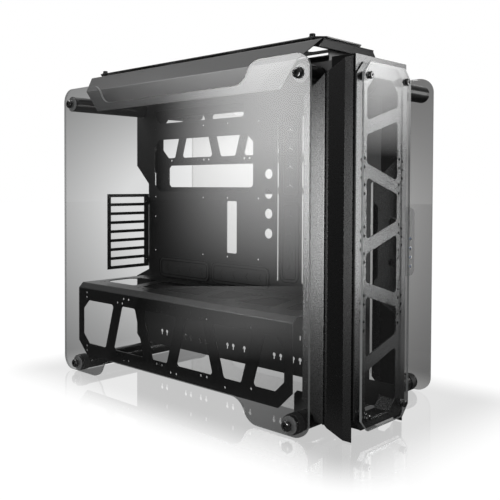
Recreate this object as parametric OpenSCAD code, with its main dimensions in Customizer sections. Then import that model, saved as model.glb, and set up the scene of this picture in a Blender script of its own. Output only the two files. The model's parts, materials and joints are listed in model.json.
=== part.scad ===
// Open frame computer case: glass sides on four cross tubes, a folded metal chassis between them
// and a narrow fan tower in front. Millimetres. +X to the far side, +Y to the rear, +Z up.

/* [Case] */
// Width over the outer faces of the two glass sides
case_w = 400; // [360:1:460]
// Thickness of the folded sheet metal
sheet_t = 2; // [1.2:0.1:2.5]
// Radius on the outside of each fold
bend_r = 4; // [3:0.5:6]
// Corner radius of the cut-outs in the sheets
cut_r = 6; // [3:0.5:9]

/* [Glass sides] */
// Length of a glass side, front to rear
glass_l = 658; // [640:1:700]
// Height of a glass side
glass_h = 610; // [600:1:640]
// Thickness of the glass
glass_t = 5; // [4:0.5:6]
// Corner radius of the glass
glass_r = 28; // [15:1:34]
// Length of each top ear, measured along the edge
top_ear_l = 101; // [85:1:120]
// Length of each bottom ear, measured along the edge
bottom_ear_l = 104; // [90:1:120]
// Depth of the notch between the ears
notch_d = 39; // [20:1:50]
// Length of the S-curve at each end of a notch
notch_run = 58; // [50:1:70]
// Height of the glass above the floor
glass_lift = 2; // [1:0.5:6]

/* [Cross tubes] */
// Diameter of a cross tube
tube_d = 32; // [28:1:36]
// Wall of a cross tube
tube_wall = 2; // [1.5:0.5:4]
// Distance of the top tubes from the glass ends
tube_top_inset = 22; // [20:1:30]
// Distance of the top tubes from the top of the glass
tube_top_drop = 31.5; // [30:0.5:34]
// Distance of the bottom tubes from the glass ends
tube_bottom_inset = 41; // [36:1:46]
// Thickness of the rubber foot rings
foot_t = 1; // [0.5:0.5:2]
// Width of the rubber foot rings
foot_w = 14; // [8:1:24]
// Diameter of a glass screw's head
glass_head_d = 18; // [14:1:22]
// Height of a glass screw's head
glass_head_h = 6; // [4:0.5:8]

/* [Tray] */
// Gap between the tower's far side and the tray's near face
tray_gap = 8; // [4:1:12]
// Height of the tray's top edge
tray_top = 606; // [602:1:612]
// Depth of the notch for the expansion slots
slot_notch_d = 43; // [36:1:50]
// Bottom of the notch for the expansion slots
slot_notch_z = 206; // [202:1:210]
// Height of the notch for the expansion slots
slot_notch_h = 201; // [196:1:206]
// Length of the main side opening
side_cut_l = 301; // [280:1:304]
// Height of the main side opening
side_cut_h = 119.5; // [100:0.5:121]
// Bottom of the main side opening
side_cut_z = 389.5; // [388:0.5:391]
// Rear end of the main side opening
side_cut_y = 265.5; // [262:0.5:268]
// Diameter of the round cable holes
cable_hole_d = 20; // [12:1:26]

/* [Board mounts] */
// Rear column of board holes, measured from the middle of the glass
board_y = 263; // [262:0.5:264]
// Top row of board holes
board_z = 535; // [533:0.5:537]
// Board holes, rear column to front column
board_l = 227.33; // [227:0.01:228]
// Board holes, top row to bottom row
board_h = 281.94; // [281:0.01:283]
// Diameter of a board hole
board_hole_d = 4; // [3:0.5:5]

/* [Expansion slots] */
// Number of expansion slots
slot_n = 8; // [6:1:8]
// Pitch of the expansion slots
slot_pitch = 20.32; // [20:0.01:20.6]
// Height of a slot window
slot_win_h = 13.8; // [10:0.1:15]
// Length of a slot window
slot_win_l = 100; // [90:1:108]

/* [Truss plates] */
// Length of a truss plate
truss_l = 580; // [570:1:586]
// Length of the window band in a truss plate
truss_win_l = 547; // [500:1:552]
// Width of the window band in a truss plate
truss_win_w = 93; // [70:1:95]
// Width of a truss bar
truss_bar = 26; // [16:1:34]
// Slant of a truss bar across the band
truss_slant = 27; // [10:1:34]
// Chamfer at the corners of the window band
truss_chamfer = 19; // [10:1:24]
// Fan screw spacing of a 120 mm fan
fan_small = 105; // [104:0.5:106]
// Fan screw spacing of a 140 mm fan
fan_large = 124.5; // [124:0.5:126]
// Diameter of a fan screw hole
fan_hole_d = 5; // [4:0.5:6]

/* [Lower chamber] */
// Height of the deck
deck_z = 192; // [190:1:192]
// Distance of the near side inside the glass
cover_gap = 5.5; // [4:0.5:8]
// Size of the slanted band under the deck's edge
cover_bevel = 10.5; // [6:0.5:16]
// Height of the near side's bottom edge
cover_bottom = 38; // [35:1:42]

/* [Spine] */
// Width of the roof's flat top and of the tower
spine_w = 154; // [150:1:160]
// Gap between the near glass and the tower
spine_gap = 43; // [41:1:46]
// Height of the roof's flat top
roof_z = 640; // [636:1:645]
// Height of the raised top plate
top_plate_z = 648; // [646:1:655]

/* [Tower] */
// Distance of the tower's front face beyond the front end of the glass sides
tower_reach = 51; // [47:1:57]
// Depth of the tower's frame
frame_d = 44; // [40:1:50]
// Height of the tower
tower_h = 608; // [606:1:610]
// Width of the front glass
front_glass_w = 143; // [135:1:146]
// Thickness of the front glass
front_glass_t = 4; // [3:0.5:5]
// Gap behind the front glass
front_gap = 6; // [4:0.5:10]

/* [Front panel strip] */
// Height of the strip
strip_h = 116; // [110:1:124]
// Width of the strip
strip_w = 29; // [26:1:32]
// Depth of the strip
strip_d = 12; // [11:0.5:12]
// Bottom of the strip
strip_z = 250; // [240:1:256]
// Number of data sockets
socket_n = 4; // [2:1:4]
// Pitch of the data sockets
socket_pitch = 16; // [12:0.5:17]
// Diameter of the power button
power_d = 12; // [9:0.5:12]
// Diameter of the reset button
reset_d = 7; // [5:0.5:8]
// Travel of the buttons
button_travel = 1.2; // [0.6:0.1:1.4]

/* [Hidden] */

$fn = 48;
overrun = 1;
fit = 0.3;
arc_steps = 6;
quarter = 90;
black = [0.06, 0.06, 0.065];
dark = [0.13, 0.13, 0.14];
steel = [0.6, 0.6, 0.62];
rubber = [0.08, 0.08, 0.08];
clear = [0.75, 0.8, 0.82, 0.3];

half_w = case_w / 2;
half_l = glass_l / 2;
glass_top = glass_lift + glass_h;
tube_r = tube_d / 2;
foot_r = tube_r + fit / 2 + foot_t;
tube_top_y = half_l - tube_top_inset;
tube_top_z = glass_top - tube_top_drop;
tube_bottom_y = half_l - tube_bottom_inset;
tube_bottom_z = foot_r;
washer_t = 1;
washer_d = 30;
plug_l = 20;
stud_d = 6;
stud_l = 16;
glass_hole_d = stud_d + 2 * fit;
tube_l = case_w - 2 * glass_t - 2 * washer_t;
spine_near = -half_w + glass_t + spine_gap;
spine_far = spine_near + spine_w;
spine_x = spine_near + spine_w / 2;
tray_x = spine_far + tray_gap;
tower_y = half_l + tower_reach;
front_screw_h = 5;
front_face = tower_y + sheet_t + front_gap + front_glass_t + front_screw_h;
// Shift that puts the middle of the whole case, front to rear, at the origin
shift_y = (front_face - half_l) / 2;
tube_spots = [
  [-tube_top_y, tube_top_z], [tube_top_y, tube_top_z],
  [-tube_bottom_y, tube_bottom_z], [tube_bottom_y, tube_bottom_z],
];

// Plane geometry

function unit(v) = v / norm(v);

function side_of(a, b) = let (d = unit(b - a)) [-d[1], d[0]];

// Arc of radius r that rounds the corner at p between its neighbours a and b
function corner_arc(a, p, b, r) =
  let (
    u = unit(p - a),
    v = unit(b - p),
    turn = acos(max(-1, min(1, u * v))),
    side = sign(u[0] * v[1] - u[1] * v[0]),
    hub = turn < 1 ? p : p + unit(v - u) * r / cos(turn / 2),
    arm = p - u * r * tan(turn / 2) - hub
  )
  turn < 1 ? [p] : [
    for (k = [0:arc_steps])
      let (w = side * turn * k / arc_steps)
        hub + [arm[0] * cos(w) - arm[1] * sin(w), arm[0] * sin(w) + arm[1] * cos(w)]
  ];

// Closed outline with every corner rounded
function rounded(points, r) =
  let (n = len(points))
    [for (i = [0:n - 1]) each corner_arc(points[(i + n - 1) % n], points[i], points[(i + 1) % n], r)];

// Open path with its inner corners rounded
function soft_path(points, r) =
  let (n = len(points))
    [for (i = [0:n - 1])
      each (i == 0 || i == n - 1 ? [points[i]] : corner_arc(points[i - 1], points[i], points[i + 1], r))];

function offset_point(path, i, t) =
  let (
    n = len(path),
    a = i > 0 ? side_of(path[i - 1], path[i]) : side_of(path[i], path[i + 1]),
    b = i < n - 1 ? side_of(path[i], path[i + 1]) : a
  )
    path[i] + (a + b) * t / (1 + a * b);

// Outline of a folded sheet of thickness t that follows a path, on the path's left side
function folded(path, t) =
  concat(path, [for (i = [len(path) - 1:-1:0]) offset_point(path, i, t)]);

function rectangle(a0, b0, a1, b1) = [[a0, b0], [a1, b0], [a1, b1], [a0, b1]];

function chamfered(a0, b0, a1, b1, c) = [
  [a0 + c, b0], [a1 - c, b0], [a1, b0 + c], [a1, b1 - c],
  [a1 - c, b1], [a0 + c, b1], [a0, b1 - c], [a0, b0 + c],
];

function mirrored(points) = [for (p = points) [-p[0], p[1]]];

// Placing of flat shapes: drawn in Y and Z, X and Z, or X and Y

module along_x(x, t) {
  translate([x, 0, 0]) rotate([90, 0, 90]) linear_extrude(t) children();
}

module along_y(y, t) {
  translate([0, y + t, 0]) rotate([90, 0, 0]) linear_extrude(t) children();
}

module along_z(z, t) {
  translate([0, 0, z]) linear_extrude(t) children();
}

module rod_x(x, y, z, d, l) {
  translate([x, y, z]) rotate([0, 90, 0]) cylinder(d = d, h = l);
}

module rod_y(x, y, z, d, l) {
  translate([x, y, z]) rotate([-90, 0, 0]) cylinder(d = d, h = l);
}

module case_place() {
  translate([0, shift_y, 0]) children();
}

// Truss pattern: a chamfered band along the first axis, cut by slanted bars.
// The first bar stands near one end and the others follow at one pitch.

bar_n = 5;
first_bar_share = 0.1225;
bar_pitch_share = 0.172;

function bar_at(i) = -truss_win_l / 2 + truss_win_l * (first_bar_share + bar_pitch_share * i);

// Position along the band of one edge of bar i at height b, on its low or high side
function bar_edge(i, b, side, l, bar) =
  bar_at(i) * l / truss_win_l
  + (i % 2 == 0 ? -1 : 1) * truss_slant * b / truss_win_w
  + side * bar / 2;

function truss_window(i, l, bar) =
  let (h = truss_win_w / 2, c = truss_chamfer, a = l / 2)
    i == 0 ? [
      [-a + c, -h], [bar_edge(0, -h, -1, l, bar), -h], [bar_edge(0, h, -1, l, bar), h],
      [-a + c, h], [-a, h - c], [-a, -h + c],
    ]
    : i == bar_n ? [
      [bar_edge(bar_n - 1, -h, 1, l, bar), -h], [a - c, -h], [a, -h + c],
      [a, h - c], [a - c, h], [bar_edge(bar_n - 1, h, 1, l, bar), h],
    ]
    : [
      [bar_edge(i - 1, -h, 1, l, bar), -h], [bar_edge(i, -h, -1, l, bar), -h],
      [bar_edge(i, h, -1, l, bar), h], [bar_edge(i - 1, h, 1, l, bar), h],
    ];

module truss_cut(l = truss_win_l, bar = truss_bar) {
  for (i = [0:bar_n]) polygon(rounded(truss_window(i, l, bar), cut_r));
}

// Fan screw holes in two rows, at the listed places along the band
module fan_rows(places, spacing) {
  for (a = places, side = [-1, 1]) translate([a, side * spacing / 2]) circle(d = fan_hole_d);
}

fan_pitch_extra = 15;
fan_pitch = fan_small + fan_pitch_extra;

function fan_places(first, n) = [for (k = [0:n - 1], e = [0, 1]) first + k * fan_pitch + e * fan_small];

large_pitch_extra = 15.5;
large_pitch = fan_large + large_pitch_extra;

function large_places(first, n) =
  [for (k = [0:n - 1], e = [0, 1]) first + k * large_pitch + e * fan_large];

// Glass sides

// S-curve of two equal arcs from a to b, level at both ends
function s_curve(a, b) =
  let (
    w = b[0] - a[0],
    h = b[1] - a[1],
    r = (w * w + h * h) / (4 * abs(h)),
    bend = asin(min(1, abs(w) / (2 * r))),
    sx = sign(w),
    sz = sign(h),
    n = 2 * arc_steps
  )
  concat(
    [for (k = [0:n]) let (q = bend * k / n) a + [sx * r * sin(q), sz * r * (1 - cos(q))]],
    [for (k = [n - 1:-1:0]) let (q = bend * k / n) b - [sx * r * sin(q), sz * r * (1 - cos(q))]]
  );

function round_corner(hub, from, r) =
  [for (k = [0:2 * arc_steps]) let (w = from + quarter * k / (2 * arc_steps)) hub + r * [cos(w), sin(w)]];

function glass_outline() =
  let (
    e = half_l,
    r = glass_r,
    b = glass_lift,
    t = glass_top,
    tn = e - top_ear_l,
    bn = e - bottom_ear_l
  )
  concat(
    round_corner([-e + r, b + r], 180, r),
    s_curve([-bn, b], [-bn + notch_run, b + notch_d]),
    s_curve([bn - notch_run, b + notch_d], [bn, b]),
    round_corner([e - r, b + r], -90, r),
    round_corner([e - r, t - r], 0, r),
    s_curve([tn, t], [tn - notch_run, t - notch_d]),
    s_curve([-tn + notch_run, t - notch_d], [-tn, t]),
    round_corner([-e + r, t - r], 90, r)
  );

module glass_side(x) {
  along_x(x, glass_t) difference() {
    polygon(glass_outline());
    for (p = tube_spots) translate(p) circle(d = glass_hole_d);
  }
}

module left_glass() {
  color(clear) case_place() glass_side(-half_w);
}

module right_glass() {
  color(clear) case_place() glass_side(half_w - glass_t);
}

// Cross tubes, with threaded plugs in their ends, foot rings, washers and screws

module cross_tube(p) {
  color(black) case_place() difference() {
    rod_x(-tube_l / 2, p[0], p[1], tube_d, tube_l);
    rod_x(-tube_l / 2 - overrun, p[0], p[1], tube_d - 2 * tube_wall, tube_l + 2 * overrun);
  }
}

module tube_top_front() {
  cross_tube(tube_spots[0]);
}

module tube_top_rear() {
  cross_tube(tube_spots[1]);
}

module tube_bottom_front() {
  cross_tube(tube_spots[2]);
}

module tube_bottom_rear() {
  cross_tube(tube_spots[3]);
}

// One item at each tube end, drawn as for the end at +X
module at_tube_ends(spots) {
  case_place() for (p = spots, m = [0, 1])
    mirror([m, 0, 0]) translate([0, p[0], p[1]]) children();
}

module tube_end_plugs() {
  color(steel) at_tube_ends(tube_spots) difference() {
    rod_x(tube_l / 2 - plug_l, 0, 0, tube_d - 2 * tube_wall - fit, plug_l);
    rod_x(tube_l / 2 - plug_l - overrun, 0, 0, stud_d + fit, plug_l + 2 * overrun);
  }
}

foot_inset = 6;

module foot_rings() {
  color(rubber) at_tube_ends([tube_spots[2], tube_spots[3]]) difference() {
    rod_x(tube_l / 2 - foot_inset - foot_w, 0, 0, 2 * foot_r, foot_w);
    rod_x(tube_l / 2 - foot_inset - foot_w - overrun, 0, 0, tube_d + fit, foot_w + 2 * overrun);
  }
}

module glass_washers() {
  color(clear) at_tube_ends(tube_spots) difference() {
    rod_x(tube_l / 2, 0, 0, washer_d, washer_t);
    rod_x(tube_l / 2 - overrun, 0, 0, glass_hole_d, washer_t + 2 * overrun);
  }
}

hex_share = 0.36;
dome_share = 0.55;

// Button head screw along +X, with its seat at the origin and a hex socket
module button_screw(head_d, head_h, shank_d, shank_l) {
  rotate([0, 90, 0]) difference() {
    union() {
      translate([0, 0, -shank_l]) cylinder(d = shank_d, h = shank_l + overrun);
      rotate_extrude() polygon(concat(
        [[0, 0], [head_d / 2, 0]],
        [for (k = [0:arc_steps]) let (w = quarter * k / arc_steps)
          [head_d / 2 * (1 - (1 - dome_share) * (1 - cos(w))),
            head_h * (1 - dome_share) + head_h * dome_share * sin(w)]],
        [[0, head_h]]
      ));
    }
    translate([0, 0, head_h / 2]) cylinder(d = head_d * hex_share * 2 / sqrt(3), h = head_h, $fn = 6);
  }
}

module glass_screws() {
  color(black) at_tube_ends(tube_spots) translate([half_w, 0, 0])
    button_screw(glass_head_d, glass_head_h, stud_d, stud_l);
}

// Motherboard tray

tray_set_back = 21;
tray_rear = half_l;
tray_front = half_l - tray_set_back;
tray_front_top = half_l;
tray_front_step = 428;
tray_corner = 13;
lug_w = 14;
lug_h = 16;
lug_head_d = 8;
side_cut_chamfer = 16;
top_cut_l = 275;
top_cut_z = 546.5;
top_cut_h = 30;
cable_hole_y = 76.2;
cable_hole_z = 307.4;
cable_hole_pitch = 39.9;
cable_hole_n = 4;
line_slot_w = 3.5;
line_slot_z = 215;
line_slot_h = 322.5;
line_slot_ys = [-100, -160];
cable_window_y = 8.7;
cable_window_z = 261;
cable_window_w = 28.3;
cable_window_h = 110;
notch_slope = 19;
notch_top_slope = 44;
tray_holes_y = [0, 154.94, board_l, 312.42];
tray_holes_z = [0, 157.48, board_h];
small_board_z = 203.2;
side_column_y = 22.86;

tray_bottom = tube_bottom_z + tube_r + fit;
slot_plane_y = tray_rear - slot_notch_d;
slot_notch_top = slot_notch_z + slot_notch_h;

function tray_outline() = [
  [-tray_front, tray_bottom],
  [tray_rear - tray_corner, tray_bottom],
  [tray_rear, tray_bottom + tray_corner],
  [tray_rear, slot_notch_z - notch_slope],
  [slot_plane_y, slot_notch_z],
  [slot_plane_y, slot_notch_top],
  [tray_rear, slot_notch_top + notch_top_slope],
  [tray_rear, tray_top],
  [-tray_front_top, tray_top],
  [-tray_front_top, tray_front_step],
  [-tray_front, tray_front_step - (tray_front_top - tray_front)],
];

// Pair of keyholes for a drive, with the wide end up
keyhole_d = 8;
keyhole_slot = 4;
keyhole_drop = 9;
drive_pitch = 126.5;
keyhole_z = 66;
keyhole_upper_z = 104;
keyhole_first = 240;
keyhole_gap = 16.5;
keyhole_second = 79;

module keyhole(y, z) {
  translate([y, z]) {
    circle(d = keyhole_d);
    translate([-keyhole_slot / 2, -keyhole_drop]) square([keyhole_slot, keyhole_drop]);
  }
}

module drive_keyholes() {
  for (g = [0:3], second = [0, 1]) {
    y = keyhole_first - g * drive_pitch - second * keyhole_second;
    for (e = [0, 1]) keyhole(y - e * keyhole_gap, keyhole_z);
    translate([y - keyhole_gap - keyhole_slot / 2, keyhole_upper_z]) square([keyhole_slot, keyhole_drop]);
  }
}

grommet_l = 160;
grommet_w = 46;
grommet_rim = 6;
grommet_r = 14;
grommet_upright_y = -130;
grommet_lower_z = 213;
grommet_upper_z = 379;
grommet_deck_gap = 1;
grommet_deck_rear_y = 87;
grommet_deck_front_y = -80;

// Cut-out for a grommet that lies along the first axis, with its corner at the origin
module grommet_hole(l, w) {
  translate([grommet_rim, grommet_rim])
    polygon(rounded(rectangle(0, 0, l - 2 * grommet_rim, w - 2 * grommet_rim), grommet_r - grommet_rim));
}

module board_holes() {
  for (y = tray_holes_y, z = tray_holes_z) translate([board_y - y, board_z - z]) circle(d = board_hole_d);
  translate([board_y, board_z - small_board_z]) circle(d = board_hole_d);
  translate([board_y - side_column_y, board_z]) circle(d = board_hole_d);
}

module tray_cuts() {
  translate([side_cut_y - side_cut_l, side_cut_z])
    polygon(chamfered(0, 0, side_cut_l, side_cut_h, side_cut_chamfer));
  translate([side_cut_y - top_cut_l, top_cut_z])
    polygon(rounded(
      [
        [0, 0], [top_cut_l - side_cut_chamfer, 0], [top_cut_l, side_cut_chamfer],
        [top_cut_l, top_cut_h], [0, top_cut_h],
      ],
      cut_r
    ));
  for (k = [0:cable_hole_n - 1])
    translate([-cable_hole_y, cable_hole_z + k * cable_hole_pitch]) circle(d = cable_hole_d);
  for (y = line_slot_ys) translate([y - line_slot_w / 2, line_slot_z]) square([line_slot_w, line_slot_h]);
  translate([cable_window_y, cable_window_z])
    polygon(rounded(rectangle(0, 0, cable_window_w, cable_window_h), line_slot_w));
  for (z = [grommet_lower_z, grommet_upper_z])
    translate([grommet_upright_y + grommet_w / 2, z]) rotate(90) grommet_hole(grommet_l, grommet_w);
  for (y = [grommet_deck_rear_y, grommet_deck_front_y])
    translate([y, deck_z + grommet_deck_gap]) grommet_hole(grommet_l, grommet_w);
  board_holes();
  drive_keyholes();
  for (p = tube_spots) translate(p) circle(d = tube_d + 2 * fit);
}

slot_frame_top_inset = 7;
slot_zs = [slot_notch_z + lug_h * 1.5, slot_notch_top - lug_h * 2.5];

// Lugs bent from the tray's edge, behind the slot cage
module tray_lugs() {
  for (z = slot_zs) {
    translate([tray_x + sheet_t - lug_w, slot_plane_y + sheet_t, z - lug_h / 2]) difference() {
      cube([lug_w, sheet_t, lug_h]);
      rod_y(lug_w / 2 - sheet_t, -overrun, lug_h / 2, board_hole_d, sheet_t + 2 * overrun);
    }
    translate([tray_x, slot_plane_y - overrun, z - lug_h / 2]) cube([sheet_t, 2 * sheet_t + overrun, lug_h]);
  }
}

module motherboard_tray() {
  color(dark) case_place() {
    along_x(tray_x, sheet_t) difference() {
      polygon(tray_outline());
      tray_cuts();
    }
    tray_lugs();
  }
}

// Expansion slot cage

cage_w = 123;
cage_bottom = 214;
cage_h = 170;
cage_win_reach = 114;
cage_win_top_gap = 7;

module slot_cage() {
  cage_top = cage_bottom + cage_h;
  color(black) case_place() along_y(slot_plane_y, sheet_t) difference() {
    polygon(rectangle(tray_x - cage_w, cage_bottom, tray_x - fit, cage_top));
    for (k = [0:slot_n - 1])
      translate([tray_x - cage_win_reach, cage_top - cage_win_top_gap - slot_win_h - k * slot_pitch])
        square([slot_win_l, slot_win_h]);
    for (z = slot_zs) translate([tray_x - lug_w / 2, z]) circle(d = board_hole_d);
  }
}

cage_screw_h = 4;

module slot_cage_screws() {
  color(steel) case_place() for (z = slot_zs)
    translate([tray_x - lug_w / 2, slot_plane_y, z]) rotate([0, 0, -90])
      button_screw(lug_head_d, cage_screw_h, board_hole_d - fit, 2 * sheet_t + overrun);
}

// Rubber grommets: a rim in front of the tray, a plug through it and a slit web

grommet_web_t = 1;
grommet_slit = 1;
grommet_cells = 4;
grommet_ridge = 8;
grommet_arm = 9;

module grommet_slits(l, w) {
  cell = (l - 2 * grommet_ridge) / grommet_cells;
  for (k = [0:grommet_cells - 1]) translate([grommet_ridge + cell * (k + 0.5), w / 2]) {
    circle(r = grommet_slit * 1.5);
    for (a = [0, 120, 240]) rotate(a) translate([0, -grommet_slit / 2]) square([grommet_arm, grommet_slit]);
  }
}

module grommet(l, w) {
  difference() {
    union() {
      along_x(tray_x - sheet_t, sheet_t) polygon(rounded(rectangle(0, 0, l, w), grommet_r));
      along_x(tray_x - overrun, sheet_t + overrun) translate([grommet_rim + fit, grommet_rim + fit])
        polygon(rounded(
          rectangle(0, 0, l - 2 * grommet_rim - 2 * fit, w - 2 * grommet_rim - 2 * fit),
          grommet_r - grommet_rim - fit
        ));
    }
    along_x(tray_x - sheet_t - overrun, overrun + grommet_web_t)
      polygon(rounded(rectangle(grommet_ridge, grommet_ridge, l - grommet_ridge, w - grommet_ridge), cut_r));
    along_x(tray_x + sheet_t - grommet_web_t, overrun + grommet_web_t)
      polygon(rounded(rectangle(grommet_ridge, grommet_ridge, l - grommet_ridge, w - grommet_ridge), cut_r));
    along_x(tray_x - 2 * sheet_t, 4 * sheet_t) grommet_slits(l, w);
  }
}

module upright_grommet(z) {
  color(rubber) case_place() translate([0, grommet_upright_y + grommet_w / 2, z])
    translate([tray_x, 0, 0]) rotate([90, 0, 0]) translate([-tray_x, 0, 0]) grommet(grommet_l, grommet_w);
}

module grommet_upper() {
  upright_grommet(grommet_upper_z);
}

module grommet_lower() {
  upright_grommet(grommet_lower_z);
}

module grommet_deck_rear() {
  color(rubber) case_place()
    translate([0, grommet_deck_rear_y, deck_z + grommet_deck_gap]) grommet(grommet_l, grommet_w);
}

module grommet_deck_front() {
  color(rubber) case_place()
    translate([0, grommet_deck_front_y, deck_z + grommet_deck_gap]) grommet(grommet_l, grommet_w);
}

// Side bracket behind the tray, for fans or a radiator

bracket_off = 32;
bracket_bar = 23.5;
bracket_l = 570;
bracket_set_back = 40;
bracket_win_set_back = 57;
long_win_set_back = 79;
bracket_bottom = 386;
bracket_h = 206;
bracket_mid_z = 514.3;
long_win_z = 400;
long_win_h = 50;
long_win_l = 467;
flange_win_h = 34;
flange_win_w = 16;
bracket_fan_first = -103;

bracket_x = tray_x + bracket_off;
bracket_rear = half_l - bracket_set_back;
bracket_win_rear = half_l - bracket_win_set_back;
long_win_rear = half_l - long_win_set_back;

module side_bracket() {
  depth = bracket_x - tray_x - sheet_t;
  color(dark) case_place() difference() {
    along_z(bracket_bottom, bracket_h) translate([tray_x + sheet_t, bracket_rear - bracket_l])
      polygon(folded(soft_path(
        [[0, bracket_l], [depth + sheet_t, bracket_l], [depth + sheet_t, 0], [0, 0]], bend_r
      ), -sheet_t));
    along_x(bracket_x - overrun, sheet_t + 2 * overrun) {
      translate([bracket_win_rear - truss_win_l / 2, bracket_mid_z])
        rotate(2 * quarter) truss_cut(truss_win_l, bracket_bar);
      translate([long_win_rear - long_win_l, long_win_z])
        polygon(rounded(chamfered(0, 0, long_win_l, long_win_h, cut_r), cut_r / 2));
      translate([0, bracket_mid_z]) fan_rows(fan_places(bracket_fan_first, 3), fan_small);
    }
    along_y(bracket_rear - 2 * sheet_t, 3 * sheet_t)
      translate([(tray_x + sheet_t + bracket_x) / 2 - flange_win_w / 2, long_win_z])
        square([flange_win_w, flange_win_h]);
  }
}

// Lower chamber cover: flange on the tray, deck, slanted band and near side in one folded sheet

cover_flange = 14;
cover_chamfer = 29;
deck_mid_off = 98;
cover_fan_first = 202.6;
cover_large_first = 142.1;
cover_mid_z = 110.5;

function cover_path() =
  let (x0 = -half_w + glass_t + cover_gap)
  [
    [tray_x, deck_z - cover_flange], [tray_x, deck_z], [x0 + cover_bevel, deck_z],
    [x0, deck_z - cover_bevel], [x0, cover_bottom],
  ];

module chamber_cover() {
  x0 = -half_w + glass_t + cover_gap;
  h = truss_l / 2;
  color(dark) case_place() difference() {
    along_y(-h, truss_l) polygon(folded(soft_path(cover_path(), bend_r), sheet_t));
    along_x(x0 - overrun, sheet_t + 2 * overrun) {
      translate([0, cover_mid_z]) truss_cut();
      translate([0, cover_mid_z]) fan_rows(fan_places(-cover_fan_first, 4), fan_small);
      translate([0, cover_mid_z]) fan_rows(large_places(-cover_large_first, 3), fan_large);
      for (s = [-1, 1]) polygon([
        [s * (h + overrun), cover_bottom - overrun],
        [s * (h - cover_chamfer - overrun), cover_bottom - overrun],
        [s * (h + overrun), cover_bottom + cover_chamfer + overrun],
      ]);
    }
    along_z(deck_z - sheet_t - overrun, sheet_t + 2 * overrun)
    translate([tray_x - deck_mid_off, 0]) rotate(90) {
      truss_cut();
      fan_rows(fan_places(-cover_fan_first, 4), fan_small);
      fan_rows(large_places(-cover_large_first, 3), fan_large);
    }
  }
}

// Roof shell, its brackets on the top tubes and the raised top plate

wing_fold_out = 19;
wing_fold_drop = 32;
wing_low_out = 8;
wing_low_drop = 47;
roof_front_set_back = 11;
roof_rear_set_back = 37;
fold_front_set_back = 48;
fold_rear_set_back = 42;
low_front_set_back = 75;
low_rear_set_back = 93;
roof_lip = 14;
roof_lip_flare = 7;
roof_cut_margin = 22;
roof_rib_w = 24;
roof_rib_n = 2;

roof_front = half_l - roof_front_set_back;
roof_rear = half_l - roof_rear_set_back;
roof_fold_front = half_l - fold_front_set_back;
roof_fold_rear = half_l - fold_rear_set_back;
roof_low_front = half_l - low_front_set_back;
roof_low_rear = half_l - low_rear_set_back;
wing_fold_z = roof_z - wing_fold_drop;
wing_low_z = wing_fold_z - wing_low_drop;

function roof_path() =
  let (h = spine_w / 2, right = [
    [h, roof_z], [h + wing_fold_out, wing_fold_z], [h + wing_fold_out + wing_low_out, wing_low_z],
  ])
  concat([for (i = [2:-1:0]) [-right[i][0], right[i][1]]], right);

module roof_side_outline() {
  polygon([
    [-roof_front, roof_z + overrun], [-roof_front, roof_z], [-roof_fold_front, wing_fold_z],
    [-roof_low_front, wing_low_z - overrun], [roof_low_rear, wing_low_z - overrun],
    [roof_fold_rear, wing_fold_z], [roof_rear, roof_z], [roof_rear, roof_z + overrun],
  ]);
}

module roof_top_cut() {
  w = spine_w - 2 * roof_cut_margin;
  l = roof_front + roof_rear - 4 * roof_cut_margin;
  cell = (l + roof_rib_w) / (roof_rib_n + 1);
  for (k = [0:roof_rib_n])
    translate([spine_x - w / 2, -roof_front + 2 * roof_cut_margin + k * cell])
      polygon(rounded(chamfered(0, 0, w, cell - roof_rib_w, truss_chamfer), cut_r));
}

module roof_shell() {
  lips = [[-roof_front, 0], [roof_rear - sheet_t, 0]];
  color(dark) case_place() difference() {
    union() {
      intersection() {
        along_y(-roof_front, roof_front + roof_rear) translate([spine_x, 0])
          polygon(folded(soft_path(roof_path(), bend_r), -sheet_t));
        along_x(-half_w, case_w) roof_side_outline();
      }
      for (l = lips) along_y(l[0], sheet_t)
        polygon([
          [spine_near - roof_lip_flare, roof_z - roof_lip], [spine_far + roof_lip_flare, roof_z - roof_lip],
          [spine_far - bend_r, roof_z - sheet_t / 2], [spine_near + bend_r, roof_z - sheet_t / 2],
        ]);
    }
    along_z(roof_z - 2 * sheet_t, 3 * sheet_t) roof_top_cut();
    for (p = standoff_spots)
      translate([p[0], p[1], roof_z - 2 * sheet_t]) cylinder(d = thumb_d + fit, h = 3 * sheet_t);
  }
}

roof_bracket_w = 108;
roof_bracket_margin = 4;
bracket_front_set_back = 29;
bracket_rear_set_back = 49;
roof_bracket_flange = 18;
roof_bracket_seat = 8;

module roof_bracket(m, back) {
  seat_z = tube_top_z + tube_r + fit;
  top_z = roof_z - sheet_t;
  color(black) case_place() mirror([0, m, 0])
    along_x(spine_far - roof_bracket_w - roof_bracket_margin, roof_bracket_w)
    polygon(folded(soft_path([
      [tube_top_y + roof_bracket_seat, seat_z], [back, seat_z],
      [back, top_z - sheet_t], [back - roof_bracket_flange, top_z - sheet_t],
    ], bend_r), -sheet_t));
}

module roof_bracket_front() {
  roof_bracket(1, half_l - bracket_front_set_back);
}

module roof_bracket_rear() {
  roof_bracket(0, half_l - bracket_rear_set_back);
}

top_plate_w = 132;
plate_front_set_back = 20;
plate_rear_set_back = 39;
top_plate_chamfer = 15;
standoff_d = 9;
thumb_d = 4;
thumb_head_d = 10;
thumb_head_h = 6;
standoff_x = 60;
standoff_front_set_back = 43;
standoff_rear_set_back = 63;

top_plate_front = half_l - plate_front_set_back;
top_plate_rear = half_l - plate_rear_set_back;
standoff_ys = [standoff_front_set_back - half_l, half_l - standoff_rear_set_back];
standoff_spots = [for (s = [-1, 1], y = standoff_ys) [spine_x + s * standoff_x, y]];
top_plate_mid = (top_plate_rear - top_plate_front) / 2;
top_fan_first = -222;

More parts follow.
